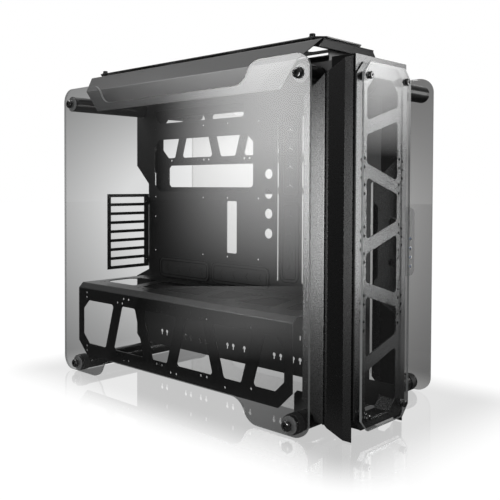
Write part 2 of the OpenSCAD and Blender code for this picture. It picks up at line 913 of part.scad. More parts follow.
module top_plate() {
  color(dark) case_place() along_z(top_plate_z - sheet_t, sheet_t) difference() {
    polygon(rounded(chamfered(
      spine_x - top_plate_w / 2, -top_plate_front, spine_x + top_plate_w / 2, top_plate_rear,
      top_plate_chamfer
    ), sheet_t));
    translate([spine_x, top_plate_mid]) rotate(90) {
      truss_cut(truss_win_l - 2 * top_plate_chamfer);
      fan_rows([for (a = fan_places(top_fan_first, 4)) a], fan_small);
    }
    for (p = standoff_spots) translate(p) circle(d = thumb_d + fit);
  }
}

module top_standoffs() {
  color(steel) case_place() for (p = standoff_spots) translate([p[0], p[1], roof_z]) difference() {
    cylinder(d = standoff_d, h = top_plate_z - sheet_t - roof_z);
    translate([0, 0, -overrun]) cylinder(d = thumb_d + fit, h = top_plate_z - roof_z + 2 * overrun);
  }
}

module top_thumb_screws() {
  color(steel) case_place() for (p = standoff_spots) translate([p[0], p[1], top_plate_z]) {
    cylinder(d = thumb_head_d, h = thumb_head_h);
    translate([0, 0, roof_z - sheet_t - top_plate_z])
      cylinder(d = thumb_d, h = top_plate_z - roof_z + sheet_t + overrun);
  }
}

// Front tower

frame_bottom = 17;
frame_chamfer = 20;
frame_flange = 14;
flank_front_set_back = 3;
flank_c_set_back = 18;
flank_rear_set_back = 77;
flank_b_out = 18;
flank_step = 4.5;
flank_step_out = 3;
flank_rear_out = 26;
flank_bottom = 1.5;
flank_top_c = 603.5;
flank_top_b = 583;
flank_top_a = 546;
flank_low_b = 21;
flank_low_a = 59;

flank_front = tower_y - flank_front_set_back;
flank_c = tower_y - flank_c_set_back;
flank_rear = tower_y - flank_rear_set_back;

function frame_outline(inset) =
  let (a = spine_near + inset, b = spine_far - inset, c = frame_chamfer - inset * 0.6)
  [
    [a + c, frame_bottom + inset], [b - c, frame_bottom + inset], [b, frame_bottom + inset + c],
    [b, tower_h - inset], [a, tower_h - inset], [a, frame_bottom + inset + c],
  ];

module tower_frame() {
  color(dark) case_place() {
    along_y(-tower_y, sheet_t) difference() {
      polygon(frame_outline(0));
      polygon(frame_outline(frame_flange));
    }
    difference() {
      along_y(-tower_y, frame_d) difference() {
        polygon(frame_outline(0));
        polygon(frame_outline(sheet_t));
      }
      cable_passes();
    }
  }
}

// Plan of the near flank, from its front edge back
function flank_path() =
  let (x = spine_w / 2 + sheet_t)
  [
    [-x, -flank_front], [-x, -flank_c], [-x - flank_b_out, -flank_c + flank_b_out],
    [-x - flank_b_out, -flank_c + flank_b_out + flank_step],
    [-x - flank_b_out - flank_step_out, -flank_c + flank_b_out + flank_step],
    [-x - flank_rear_out, -flank_rear],
  ];

module flank_side_outline() {
  polygon([
    [-flank_front - overrun, flank_bottom], [-flank_c, flank_bottom], [-flank_c + flank_b_out, flank_low_b],
    [-flank_rear + overrun, flank_low_a + overrun], [-flank_rear + overrun, flank_top_a - overrun],
    [-flank_c + flank_b_out, flank_top_b], [-flank_c, flank_top_c],
    [-flank_front - overrun, flank_top_c + flank_bottom],
  ]);
}

module flank(m) {
  color(dark) case_place() translate([spine_x, 0, 0]) mirror([m, 0, 0]) intersection() {
    along_z(0, tower_h) polygon(folded(flank_path(), -sheet_t));
    along_x(-case_w, case_w) flank_side_outline();
  }
}

module tower_flank_near() {
  flank(0);
}

module tower_flank_far() {
  flank(1);
}

// Arms that hold the tower on the front tubes, inside the frame's side walls
arm_h = 44;
arm_reach = 24;

function top_arm_outline(p) =
  chamfered(-tower_y + 2 * sheet_t, p[1] - arm_h / 2, p[0] + arm_reach, p[1] + arm_h / 2, cut_r);

// The bottom arm steps down behind the frame to sit on the tube
function bottom_arm_outline(p) =
  let (
    front = -tower_y + 2 * sheet_t,
    step = -tower_y + frame_d + sheet_t,
    floor_z = frame_bottom + frame_chamfer + sheet_t
  )
  [
    [front, floor_z], [step, floor_z], [step, p[1]], [p[0] + arm_reach, p[1]],
    [p[0] + arm_reach, p[1] + arm_h - cut_r], [p[0] + arm_reach - cut_r, p[1] + arm_h], [front, p[1] + arm_h],
  ];

module tower_arm(x, p, outline) {
  color(black) case_place() along_x(x, sheet_t) difference() {
    polygon(outline);
    translate(p) circle(d = tube_d + 2 * fit);
  }
}

arm_near_x = spine_near + sheet_t;
arm_far_x = spine_far - 2 * sheet_t;

module tower_arm_top_near() {
  tower_arm(arm_near_x, tube_spots[0], top_arm_outline(tube_spots[0]));
}

module tower_arm_top_far() {
  tower_arm(arm_far_x, tube_spots[0], top_arm_outline(tube_spots[0]));
}

module tower_arm_bottom_near() {
  tower_arm(arm_near_x, tube_spots[2], bottom_arm_outline(tube_spots[2]));
}

module tower_arm_bottom_far() {
  tower_arm(arm_far_x, tube_spots[2], bottom_arm_outline(tube_spots[2]));
}

tower_truss_w = 154;
tower_truss_bottom = 17;
tower_bar = 22.5;
tower_band_drop = 5;
front_screw_d = 12;
front_stud_d = 4;
front_screw_inset = 15.5;
front_screw_end = 22;
spacer_d = 14;
tower_large_first = 142;
tower_large_pitch = 112.5;
tower_pair_first = 145;
tower_pair_gap = 14;
tower_pair_shift = 42;
tower_pair_pitch = 108.5;

front_top = tower_truss_bottom + truss_l;
front_spots = [for (s = [-1, 1], z = [tower_truss_bottom + front_screw_end, front_top - front_screw_end])
  [spine_x + s * (front_glass_w / 2 - front_screw_inset), z]];

module front_outline(w) {
  polygon(chamfered(spine_x - w / 2, tower_truss_bottom, spine_x + w / 2, front_top, truss_chamfer));
}

module tower_truss() {
  mid = (tower_truss_bottom + front_top) / 2;
  color(dark) case_place() along_y(-tower_y - sheet_t, sheet_t) difference() {
    front_outline(tower_truss_w);
    translate([spine_x, mid - tower_band_drop]) rotate(-90) {
      truss_cut(truss_win_l, tower_bar);
      fan_rows([for (k = [0:2], e = [0, 1], s = [0, 1])
        -tower_pair_first + k * tower_pair_pitch + s * tower_pair_shift + e * tower_pair_gap], fan_small);
      fan_rows([for (k = [0:2], s = [0:2])
        -tower_large_first + k * tower_large_pitch + s * tower_pair_gap], fan_large);
    }
    for (p = front_spots) translate(p) circle(d = front_stud_d + 2 * fit);
  }
}

glass_front_y = -tower_y - sheet_t - front_gap - front_glass_t;

module front_glass() {
  color(clear) case_place() along_y(glass_front_y, front_glass_t) difference() {
    front_outline(front_glass_w);
    for (p = front_spots) translate(p) circle(d = front_stud_d + 2 * fit);
  }
}

module front_spacers() {
  color(black) case_place() for (p = front_spots) difference() {
    rod_y(p[0], -tower_y - sheet_t - front_gap, p[1], spacer_d, front_gap);
    rod_y(p[0], -tower_y - sheet_t - front_gap - overrun, p[1], front_stud_d + fit, front_gap + 2 * overrun);
  }
}

module front_screws() {
  color(black) case_place() for (p = front_spots) translate([p[0], glass_front_y, p[1]]) rotate([0, 0, -90])
    button_screw(front_screw_d, front_screw_h, front_stud_d, front_glass_t + front_gap + 2 * sheet_t);
}

// Front panel strip on the tower's far side, with buttons and data sockets

strip_r = 12;
strip_mid_x = 13;
strip_wall = 2.5;
strip_back = 1.5;
power_z = 106;
reset_z = 89;
socket_w = 14;
socket_h = 6.5;
socket_first = 14.5;
shell_t = 0.5;
tongue_h = 1.6;
tongue_gap = 1.2;
flange_extra = 1.5;
flange_t = 2;

strip_x = spine_far + sheet_t + fit;
strip_y = -tower_y - overrun;

holder_low_front = 14;
holder_low_mid = 46;
holder_low_rear = 56;
holder_notch = 49;
holder_high_mid = 57;
holder_high_front = 39;
holder_top_front = 12;
holder_zs = [184, 202, 226, 237, 243, 368, 373, 412, 426, 451];
cable_pass_d = 12;
cable_pass_set_back = 22;
cable_pass_zs = [271, 341];

module strip_bracket() {
  ys = [
    holder_low_front, holder_low_mid, holder_low_rear, holder_low_rear, holder_notch,
    holder_notch, holder_high_mid, holder_high_mid, holder_high_front, holder_top_front,
  ];
  rim = [for (i = [0:len(ys) - 1]) [ys[i] - tower_y, holder_zs[i]]];
  color(dark) case_place() along_x(spine_far - 2 * sheet_t, sheet_t) difference() {
    polygon(concat([[sheet_t - tower_y, holder_zs[0]]], rim, [[sheet_t - tower_y, holder_zs[len(ys) - 1]]]));
    for (z = cable_pass_zs) translate([cable_pass_set_back - tower_y, z]) circle(d = cable_pass_d);
  }
}

// Holes for the strip's cables through the tower's far wall
module cable_passes() {
  for (z = cable_pass_zs)
    rod_x(spine_far - 2 * sheet_t, cable_pass_set_back - tower_y, z, cable_pass_d, 4 * sheet_t);
}

// Round-ended outline of the strip, square on the tower's side
module strip_outline() {
  translate([strip_x, strip_z]) polygon(concat(
    [[0, 0]],
    corner_arc([0, 0], [strip_w, 0], [strip_w, strip_h], strip_r),
    corner_arc([strip_w, 0], [strip_w, strip_h], [0, strip_h], strip_r),
    [[0, strip_h]]
  ));
}

module button_cavity(z, d) {
  x = strip_x + strip_mid_x;
  rod_y(x, strip_y - overrun, strip_z + z, d + 2 * fit, strip_d);
  flange_d = d + 2 * flange_extra + 2 * fit;
  rod_y(x, strip_y + strip_wall, strip_z + z, flange_d, strip_d - strip_wall - strip_back);
}

function socket_z(k) = strip_z + socket_first + k * socket_pitch;

module strip_housing() {
  x = strip_x + strip_mid_x;
  color(dark) case_place() difference() {
    along_y(strip_y, strip_d) strip_outline();
    button_cavity(power_z, power_d);
    button_cavity(reset_z, reset_d);
    for (k = [0:socket_n - 1])
      translate([x - socket_w / 2, strip_y - overrun, socket_z(k) - socket_h / 2])
        cube([socket_w, strip_d - strip_back + overrun, socket_h]);
  }
}

module button(z, d) {
  x = strip_x + strip_mid_x;
  color(black) case_place() {
    rod_y(x, strip_y - button_travel, strip_z + z, d, button_travel + strip_wall + fit + flange_t / 2);
    rod_y(x, strip_y + strip_wall + fit, strip_z + z, d + 2 * flange_extra, flange_t);
  }
}

module power_button() {
  button(power_z, power_d);
}

module reset_button() {
  button(reset_z, reset_d);
}

switch_w = 6;

module button_switches() {
  x = strip_x + strip_mid_x;
  front = strip_y + strip_wall + 2 * fit + flange_t + button_travel;
  color(black) case_place() for (z = [power_z, reset_z])
    translate([x - switch_w / 2, front, strip_z + z - switch_w / 2])
      cube([switch_w, strip_y + strip_d - strip_back - front, switch_w]);
}

module socket_shells() {
  x = strip_x + strip_mid_x;
  w = socket_w - 2 * fit;
  h = socket_h - 2 * fit;
  color(steel) case_place() for (k = [0:socket_n - 1]) difference() {
    translate([x - w / 2, strip_y, socket_z(k) - h / 2]) cube([w, strip_d - strip_back, h]);
    translate([x - w / 2 + shell_t, strip_y - overrun, socket_z(k) - h / 2 + shell_t])
      cube([w - 2 * shell_t, strip_d - strip_back - shell_t + overrun, h - 2 * shell_t]);
  }
}

module socket_tongues() {
  x = strip_x + strip_mid_x;
  w = socket_w - 2 * fit - 2 * shell_t - 2 * tongue_gap;
  back = strip_y + strip_d - strip_back - shell_t;
  color([0.1, 0.3, 0.7]) case_place() for (k = [0:socket_n - 1])
    translate([x - w / 2, strip_y + tongue_gap, socket_z(k)])
      cube([w, back - strip_y - tongue_gap, tongue_h]);
}

left_glass();
right_glass();
tube_top_front();
tube_top_rear();
tube_bottom_front();
tube_bottom_rear();
tube_end_plugs();
foot_rings();
glass_washers();
glass_screws();
motherboard_tray();
slot_cage();
slot_cage_screws();
grommet_upper();
grommet_lower();
grommet_deck_rear();
grommet_deck_front();
side_bracket();
chamber_cover();
roof_shell();
roof_bracket_front();
roof_bracket_rear();
top_plate();
top_standoffs();
top_thumb_screws();
tower_frame();
tower_flank_near();
tower_flank_far();
tower_arm_top_near();
tower_arm_top_far();
tower_arm_bottom_near();
tower_arm_bottom_far();
tower_truss();
front_glass();
front_spacers();
front_screws();
strip_bracket();
strip_housing();
power_button();
reset_button();
button_switches();
socket_shells();
socket_tongues();
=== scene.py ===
import json
import math

import bmesh
import bpy
from mathutils import Matrix, Quaternion, Vector


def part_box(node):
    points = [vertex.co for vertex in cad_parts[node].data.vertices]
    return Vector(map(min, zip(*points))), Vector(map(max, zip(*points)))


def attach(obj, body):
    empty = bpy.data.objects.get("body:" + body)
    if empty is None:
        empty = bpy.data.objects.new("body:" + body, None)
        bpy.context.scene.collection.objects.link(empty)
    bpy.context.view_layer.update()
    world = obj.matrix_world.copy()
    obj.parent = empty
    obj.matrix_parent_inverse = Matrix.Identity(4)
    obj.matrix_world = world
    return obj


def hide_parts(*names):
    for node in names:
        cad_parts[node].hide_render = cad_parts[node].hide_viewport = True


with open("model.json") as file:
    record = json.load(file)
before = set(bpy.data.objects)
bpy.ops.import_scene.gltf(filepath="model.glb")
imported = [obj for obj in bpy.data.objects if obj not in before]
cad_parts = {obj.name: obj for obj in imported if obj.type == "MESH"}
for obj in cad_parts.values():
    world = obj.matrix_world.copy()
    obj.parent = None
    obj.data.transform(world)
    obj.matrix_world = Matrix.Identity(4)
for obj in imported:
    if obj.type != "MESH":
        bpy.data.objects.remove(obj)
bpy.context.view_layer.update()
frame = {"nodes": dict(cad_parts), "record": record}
nodes = frame["nodes"]
scene = bpy.context.scene

MM = 0.001
SHIFT_Y = 0.034  # from the case's own Y to the row frame's Y, in metres

# ---------------------------------------------------------------- camera

PHOTO_PX = 500
FOCAL_PX = 725.5
SENSOR_MM = 36
CAMERA_SHIFT = (0.1322, -0.0906)
CAMERA_PLACE = (-1.1239, -1.0027 + SHIFT_Y, 0.4029)
CAMERA_HEADING, CAMERA_PITCH, CAMERA_ROLL = -44.10, -1.49, 0.09  # degrees
CLIP_NEAR, CLIP_FAR = 0.05, 60


def make_camera():
    """The photograph's camera, recovered from the straight edges of the object."""
    cam = bpy.data.cameras.new("camera")
    cam.sensor_width = SENSOR_MM
    cam.lens = FOCAL_PX / PHOTO_PX * SENSOR_MM
    cam.shift_x, cam.shift_y = CAMERA_SHIFT
    cam.clip_start, cam.clip_end = CLIP_NEAR, CLIP_FAR
    obj = bpy.data.objects.new("camera", cam)
    scene.collection.objects.link(obj)
    turn = (
        Matrix.Rotation(math.radians(CAMERA_HEADING), 4, "Z")
        @ Matrix.Rotation(math.pi / 2 + math.radians(CAMERA_PITCH), 4, "X")
        @ Matrix.Rotation(math.radians(CAMERA_ROLL), 4, "Z")
    )
    obj.matrix_world = Matrix.Translation(CAMERA_PLACE) @ turn
    scene.camera = obj


make_camera()

# ---------------------------------------------------------------- node helpers


class Tree:
    """Builds a material's or a world's node tree with short calls."""

    def __init__(self, name, world=False):
        self.owner = bpy.data.worlds.new(name) if world else bpy.data.materials.new(name)
        self.owner.use_nodes = True
        self.tree = self.owner.node_tree
        self.tree.nodes.clear()

    def node(self, kind, **settings):
        made = self.tree.nodes.new(kind)
        for key, value in settings.items():
            setattr(made, key, value)
        return made

    def link(self, source, socket):
        self.tree.links.new(source, socket)

    def feed(self, socket, value):
        """Sets a socket to a number or a tuple, or links it to another socket."""
        if isinstance(value, (int, float, tuple)):
            socket.default_value = value
        else:
            self.link(value, socket)

    def math(self, operation, a, b=None, c=None, clamp=False):
        made = self.node("ShaderNodeMath", operation=operation, use_clamp=clamp)
        for socket, value in zip(made.inputs, (a, b, c)):
            if value is not None:
                self.feed(socket, value)
        return made.outputs[0]

    def vector(self, operation, a, b=None, output="Vector"):
        made = self.node("ShaderNodeVectorMath", operation=operation)
        for socket, value in zip(made.inputs, (a, b)):
            if value is not None:
                self.feed(socket, value)
        return made.outputs[output]

    def parts(self, vector):
        made = self.node("ShaderNodeSeparateXYZ")
        self.link(vector, made.inputs[0])
        return made.outputs

    def ramp(self, fac, low, high):
        """A colour ramp between two (position, colour) stops."""
        made = self.node("ShaderNodeValToRGB")
        for element, (place, color) in zip(made.color_ramp.elements, (low, high)):
            element.position = place
            element.color = (*color, 1)
        self.link(fac, made.inputs["Fac"])
        return made.outputs["Color"]

    def noise(self, vector, scale, detail=2.0, roughness=0.5):
        made = self.node("ShaderNodeTexNoise")
        made.inputs["Scale"].default_value = scale
        made.inputs["Detail"].default_value = detail
        made.inputs["Roughness"].default_value = roughness
        self.link(vector, made.inputs["Vector"])
        return made.outputs["Fac"]

    def place(self):
        return self.node("ShaderNodeTexCoord").outputs["Object"]

    def behind_glass(self, path):
        """1 for a ray that has passed a pane, else 0."""
        return self.math("GREATER_THAN", path.outputs["Transparent Depth"], 0.5)

    def mixed(self, share, first, second):
        made = self.node("ShaderNodeMixShader")
        self.feed(made.inputs[0], share)
        self.link(first, made.inputs[1])
        self.link(second, made.inputs[2])
        return made.outputs[0]


def grey(value):
    return (value, value, value, 1)


def shades(tone, low, high):
    """Two neutral colours, the tone times low and times high."""
    return (tone * low,) * 3, (tone * high,) * 3


def principled(t, **settings):
    made = t.node("ShaderNodeBsdfPrincipled")
    for key, value in settings.items():
        t.feed(made.inputs[key.replace("_", " ")], value)
    return made.outputs[0]


def finish(t, shader):
    out = t.node("ShaderNodeOutputMaterial")
    t.link(shader, out.inputs["Surface"])
    return t.owner


def soft_edges(t, radius):
    made = t.node("ShaderNodeBevel", samples=3)
    made.inputs["Radius"].default_value = radius
    return made.outputs["Normal"]


def bumped(t, height, strength, depth, edge_radius):
    """The surface normal with softened edges and fine bumps."""
    made = t.node("ShaderNodeBump")
    made.inputs["Strength"].default_value = strength
    made.inputs["Distance"].default_value = depth
    t.link(height, made.inputs["Height"])
    t.link(soft_edges(t, edge_radius), made.inputs["Normal"])
    return made.outputs["Normal"]


# ---------------------------------------------------------------- materials
# Texture scales are in features per metre.

COAT_GRAIN, COAT_SPECKS, COAT_CLOUDS = 900, 520, 9
COAT_TINT = 1.03
COAT_BUMP_DEPTH, COAT_EDGE = 0.4 * MM, 0.6 * MM
# Painted shade: the near-black coat that stands in for shade on the faces of one normal range.
PAINTED_SHADE_TONE, PAINTED_SHADE_ROUGH, PAINTED_SHADE_SPECULAR = 0.006, 0.3, 0.07
ENAMEL_CLOUDS, ENAMEL_RIPPLE = 60, 240
ENAMEL_BUMP_DEPTH, ENAMEL_EDGE = 0.3 * MM, 0.7 * MM
RUBBER_DUST, RUBBER_GRAIN = 45, 800
RUBBER_BUMP_DEPTH, RUBBER_EDGE = 0.3 * MM, 0.8 * MM
STEEL_STREAKS = 400
PLASTIC_SPECKS = 300
SMALL_EDGE = 0.4 * MM
GLASS_IOR = 1.5
GLASS_SMEARS = 3.5
GLASS_REFLECTION = 1.9
GLASS_HAZE, HAZE_TONE = 0.002, 0.55
GROUND_ROUGH = 0.35
EDGE_FACING = 0.6  # a face whose normal leans this far off the pane's is its ground edge


def powder_coat(name, tone, rough=0.42, grain=0.35, scale=1.0, specular=0.5, painted_shade_side=None):
    """Fine-textured powder coat: a grain of small bumps, with slightly lighter specks.

    The last argument, if given, is an (axis, lowest, highest) range of the surface normal whose faces are
    painted near black: painted shade, on faces that are the same coat as the rest.
    """
    t = Tree(name)
    where = t.place()
    fine = t.noise(where, COAT_GRAIN * scale, 2.0, 0.6)
    specks = t.noise(where, COAT_SPECKS * scale, 1.0, 0.4)
    clouds = t.noise(where, COAT_CLOUDS, 2.0, 0.5)
    mix = t.math("MULTIPLY_ADD", specks, 0.7, t.math("MULTIPLY", clouds, 0.3))
    low, high = tone * (1 - 0.35 * grain), tone * (1 + 0.5 * grain)
    color = t.ramp(mix, (0.38, (low, low, low * COAT_TINT)), (0.62, (high, high, high * COAT_TINT)))
    roughness = t.math("MULTIPLY_ADD", specks, 0.12, rough - 0.06)
    normal = bumped(t, fine, 0.3 * grain + 0.04, COAT_BUMP_DEPTH, COAT_EDGE)
    coat = principled(t, Base_Color=color, Roughness=roughness, Specular_IOR_Level=specular, Normal=normal)
    if not painted_shade_side:
        return finish(t, coat)
    # Faces in the range take painted shade: a near-black coat in place of the lit coat they really have.
    axis, lowest, highest = painted_shade_side
    facing = t.parts(t.node("ShaderNodeNewGeometry").outputs["True Normal"])[axis]
    above = t.math("GREATER_THAN", facing, lowest)
    in_painted_shade = t.math("MULTIPLY", above, t.math("LESS_THAN", facing, highest))
    black = principled(
        t, Base_Color=grey(PAINTED_SHADE_TONE), Roughness=PAINTED_SHADE_ROUGH,
        Specular_IOR_Level=PAINTED_SHADE_SPECULAR, Normal=normal,
    )
    return finish(t, t.mixed(in_painted_shade, coat, black))


def gloss_black(name, tone, rough, scuff=0.05, coat=0.0):
    """Smooth black enamel or oxide with a little unevenness."""
    t = Tree(name)
    where = t.place()
    clouds = t.noise(where, ENAMEL_CLOUDS, 3.0, 0.6)
    dark, light = shades(tone, 0.8, 1.25)
    normal = bumped(t, t.noise(where, ENAMEL_RIPPLE), 0.08, ENAMEL_BUMP_DEPTH, ENAMEL_EDGE)
    roughness = t.math("MULTIPLY_ADD", clouds, scuff, rough - scuff / 2)
    color = t.ramp(clouds, (0.3, dark), (0.7, light))
    return finish(t, principled(
        t, Base_Color=color, Roughness=roughness, Coat_Weight=coat, Coat_Roughness=0.08, Normal=normal
    ))


def rubber(name, tone=0.02):
    """Matt black rubber with a little dust."""
    t = Tree(name)
    where = t.place()
    dust = t.noise(where, RUBBER_DUST, 4.0, 0.6)
    dark, light = shades(tone, 1.0, 1.7)
    normal = bumped(t, t.noise(where, RUBBER_GRAIN), 0.15, RUBBER_BUMP_DEPTH, RUBBER_EDGE)
    roughness = t.math("MULTIPLY_ADD", dust, 0.15, 0.52)
    color = t.ramp(dust, (0.35, dark), (0.75, light))
    return finish(t, principled(
        t, Base_Color=color, Roughness=roughness, Specular_IOR_Level=0.35, Normal=normal
    ))


def bright_steel(name, tone=0.6, rough=0.25):
    """Plain or plated steel with faint streaks."""
    t = Tree(name)
    streak = t.noise(t.place(), STEEL_STREAKS, 3.0, 0.7)
    dark, light = shades(tone, 0.85, 1.1)
    color = t.ramp(streak, (0.3, dark), (0.7, light))
    roughness = t.math("MULTIPLY_ADD", streak, 0.15, rough)
    return finish(t, principled(
        t, Base_Color=color, Roughness=roughness, Metallic=1.0, Normal=soft_edges(t, SMALL_EDGE)
    ))


def flat_plastic(name, color, rough=0.4):
    """Moulded plastic with a slightly uneven tone."""
    t = Tree(name)
    specks = t.noise(t.place(), PLASTIC_SPECKS)
    dark, light = tuple(c * 0.85 for c in color), tuple(min(1, c * 1.15) for c in color)
    tone = t.ramp(specks, (0.3, dark), (0.7, light))
    roughness = t.math("MULTIPLY_ADD", specks, 0.1, rough)
    return finish(t, principled(t, Base_Color=tone, Roughness=roughness, Normal=soft_edges(t, SMALL_EDGE)))


def sheet_glass(name, clear, edge_tone, ground_share, axis="X"):
    """Flat tempered glass square on the axis: a clear pane that reflects by angle, with a ground edge.

    ground_share is how much of the edge is frosted, where the rest is as clear as the pane.
    """
    t = Tree(name)
    geometry = t.node("ShaderNodeNewGeometry")
    facing = t.math("ABSOLUTE", t.parts(geometry.outputs["True Normal"])[axis])
    is_edge = t.math("LESS_THAN", facing, EDGE_FACING)
    through = t.node("ShaderNodeBsdfTransparent")
    through.inputs["Color"].default_value = (*clear, 1)
    gloss = t.node("ShaderNodeBsdfGlossy")
    smear = t.noise(t.place(), GLASS_SMEARS, 3.0, 0.5)
    t.link(t.math("MULTIPLY", smear, 0.02), gloss.inputs["Roughness"])
    fresnel = t.node("ShaderNodeFresnel")
    fresnel.inputs["IOR"].default_value = GLASS_IOR
    outer = t.math("SUBTRACT", 1.0, geometry.outputs["Backfacing"])
    strength = t.math("MULTIPLY", fresnel.outputs[0], GLASS_REFLECTION)
    reflect = t.math("MULTIPLY", strength, outer, clamp=True)
    haze = t.node("ShaderNodeBsdfDiffuse")
    haze.inputs["Color"].default_value = grey(HAZE_TONE)
    veil = t.mixed(GLASS_HAZE, through.outputs[0], haze.outputs[0])
    pane = t.mixed(reflect, veil, gloss.outputs[0])
    ground = principled(t, Base_Color=(*edge_tone, 1), Roughness=GROUND_ROUGH, IOR=GLASS_IOR)
    edge = t.mixed(ground_share, through.outputs[0], ground)
    return finish(t, t.mixed(is_edge, pane, edge))


CLEAR = (0.965, 0.968, 0.968)
FAINT_TINT = (0.95, 0.948, 0.945)
# Normal ranges that take painted shade: the roof's front-facing faces and the tower frame's near-side faces
# are painted near black.
PAINTED_SHADE_FRONT_FACES = ("Y", -1.1, -0.8)
PAINTED_SHADE_NEAR_SIDE_FACES = ("X", -1.1, -0.8)
MATERIALS = {
    "sheet": powder_coat("sheet_coat", 0.014, rough=0.28, specular=0.6),
    "cover_sheet": powder_coat("cover_coat", 0.009, rough=0.3, grain=0.2, specular=0.35),
    "inner_sheet": powder_coat("inner_coat", 0.01, rough=0.42, grain=0.3),
    "tray_sheet": powder_coat("tray_coat", 0.014, rough=0.38, grain=0.05, scale=2.5, specular=0.6),
    # The roof and frame coats carry painted shade, near black, on the faces in those ranges.
    "roof_sheet_painted_shade": powder_coat("roof_coat_painted_shade", 0.014, rough=0.34, specular=0.6, painted_shade_side=PAINTED_SHADE_FRONT_FACES),
    "frame_near_painted_shade": powder_coat("frame_coat_painted_shade", 0.014, rough=0.28, specular=0.6, painted_shade_side=PAINTED_SHADE_NEAR_SIDE_FACES),
    "tube": gloss_black("tube_enamel", 0.012, 0.22, coat=0.3),
    "rubber": rubber("black_rubber"),
    "screw": gloss_black("black_oxide", 0.03, 0.18, coat=0.4),
    "small_screw": gloss_black("small_black_oxide", 0.03, 0.25),
    "plug": bright_steel("plug_steel"),
    # Near-black rubber for the grommets' lips: painted shade of the grooves round their rims and webs.
    "seam": powder_coat("seam_rubber_painted_shade", 0.003, rough=0.7, grain=0.05, specular=0.05),
    "shell": bright_steel("shell_steel", 0.7, 0.18),
    "tongue": flat_plastic("blue_tongue", (0.03, 0.16, 0.6)),
    "plastic": gloss_black("satin_plastic", 0.02, 0.38),
    "washer": flat_plastic("washer_nylon", (0.5, 0.5, 0.5), 0.3),
    "near_glass": sheet_glass("near_glass_pane", CLEAR, (0.7, 0.72, 0.72), 0.5),
    "far_glass": sheet_glass("far_glass_pane", FAINT_TINT, (0.6, 0.6, 0.6), 0.25),
    "front_glass": sheet_glass("front_glass_pane", CLEAR, (0.8, 0.82, 0.82), 0.8, axis="Y"),
}

# These nodes take a finish of their own, and every other node that of its material slot.
FINISH_OF_NODE = {
    "motherboard_tray": "tray_sheet",
    "chamber_cover": "cover_sheet",
    # roof_shell and tower_frame take the coats with painted shade.
    "roof_shell": "roof_sheet_painted_shade",
    "tower_frame": "frame_near_painted_shade",
}

for row in frame["record"]["subparts"]:
    target = nodes[row["node"]]
    target.data.materials.clear()
    target.data.materials.append(MATERIALS[FINISH_OF_NODE.get(row["node"], row["material_slot"])])

# ---------------------------------------------------------------- modelled pieces


def add_piece(name, mesh_maker, body, finish_name):
    mesh = bpy.data.meshes.new(name)
    made = bmesh.new()
    mesh_maker(made)
    bmesh.ops.recalc_face_normals(made, faces=made.faces)
    made.to_mesh(mesh)
    made.free()
    mesh.materials.append(MATERIALS[finish_name])
    obj = bpy.data.objects.new(name, mesh)
    scene.collection.objects.link(obj)
    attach(obj, body)
    return obj


def join_loops(made, a, b):
    """A strip of faces between two closed loops with as many vertices each."""
    count = len(a)
    for k in range(count):
        made.faces.new((a[k], a[(k + 1) % count], b[(k + 1) % count], b[k]))


# (radius, height above the roof's top plate, knurled) in millimetres, from the shank to the top
THUMB_PROFILE = [
    (2.0, -10, False), (2.0, 0.02, False), (6.2, 0.02, False), (6.4, 0.2, False), (6.4, 0.8, False),
    (6.2, 1.0, False), (3.6, 1.0, False), (3.6, 1.7, False), (4.8, 1.8, True), (5.0, 2.1, True),
    (5.0, 5.1, True), (4.6, 5.6, True), (4.3, 5.9, False), (2.6, 5.9, False), (2.3, 5.4, False),
]
THUMB_RIBS = 20
THUMB_RIB_DEPTH = 0.45
STEPS_PER_RIB = 4
PLATE_TOP = 648 * MM
THUMB_XS = (-135 * MM, -15 * MM)
THUMB_YS = (-286 * MM + SHIFT_Y, 266 * MM + SHIFT_Y)


def thumb_screw(made, place):
    """One turned solid with a knurled rim, upright on the place."""
    steps = THUMB_RIBS * STEPS_PER_RIB
    rings = []
    for radius, height, knurled in THUMB_PROFILE:
        ring = []
        for k in range(steps):
            angle = 2 * math.pi * k / steps
            in_groove = knurled and k % STEPS_PER_RIB >= STEPS_PER_RIB / 2
            r = (radius - (THUMB_RIB_DEPTH if in_groove else 0)) * MM
            offset = Vector((r * math.cos(angle), r * math.sin(angle), height * MM))
            ring.append(made.verts.new(place + offset))
        rings.append(ring)
    for low, high in zip(rings, rings[1:]):
        join_loops(made, low, high)
    made.faces.new(list(reversed(rings[0])))
    made.faces.new(rings[-1])


def thumb_screws(made):
    for x in THUMB_XS:
        for y in THUMB_YS:
            thumb_screw(made, Vector((x, y, PLATE_TOP)))


CORNER_STEPS = 6


def rounded_loop(made, x, rectangle, radius):
    """The vertices of a rectangle with rounded corners, square on X."""
    y0, y1, z0, z1 = rectangle
    loop = []
    for cy, cz, start in (
        (y1 - radius, z1 - radius, 0), (y0 + radius, z1 - radius, 90),
        (y0 + radius, z0 + radius, 180), (y1 - radius, z0 + radius, 270),
    ):
        for k in range(CORNER_STEPS + 1):
            angle = math.radians(start + 90 * k / CORNER_STEPS)
            loop.append(made.verts.new((x, cy + radius * math.cos(angle), cz + radius * math.sin(angle))))
    return loop


def rounded_plate(made, x0, x1, rectangle, radius):
    """A flat plate with rounded corners, square on X."""
    front, back = (rounded_loop(made, x, rectangle, radius) for x in (x0, x1))
    join_loops(made, front, back)
    made.faces.new(list(reversed(front)))
    made.faces.new(back)


def rounded_band(made, x0, x1, rectangle, radius, width):
    """A flat closed band along a rectangle with rounded corners, square on X."""
    inner = inset(rectangle, width)
    loops = [
        rounded_loop(made, x0, rectangle, radius), rounded_loop(made, x1, rectangle, radius),
        rounded_loop(made, x1, inner, radius - width), rounded_loop(made, x0, inner, radius - width),
    ]
    for a, b in zip(loops, loops[1:] + loops[:1]):
        join_loops(made, a, b)


